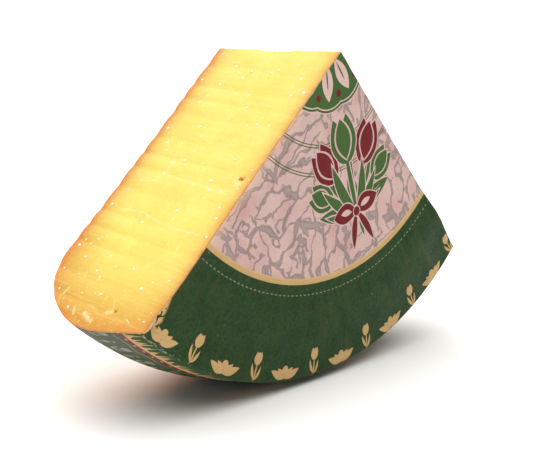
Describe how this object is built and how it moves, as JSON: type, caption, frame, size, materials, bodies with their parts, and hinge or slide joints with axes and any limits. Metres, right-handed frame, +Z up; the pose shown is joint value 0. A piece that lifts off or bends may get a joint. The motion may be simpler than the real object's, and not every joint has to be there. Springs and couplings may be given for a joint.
{
  "type": "aged gouda wheel quarter",
  "caption": "Quarter wedge cut from a wheel of aged gouda, standing on its rounded rim, with golden cut faces, a thin rind and a printed paper label over the face and rim.",
  "frame": {"origin": "middle of the small flat on the rim that the wedge stands on", "axes": "+Z up; the wheel's axis runs along Y, with the labelled face towards -Y and the plain back towards +Y; the cuts rise to the tip on both sides of X = 0"},
  "size_m": [0.2566, 0.0935, 0.1769],
  "materials": {
    "cheese_paste": "firm golden paste with a waxy sheen, darker towards the rind",
    "printed_paper": "matt uncoated paper, printed, with worn edges"
  },
  "bodies": {
    "root": {"cheese_wedge": "cheese_paste", "paper_label": "printed_paper"}
  },
  "joints": []
}
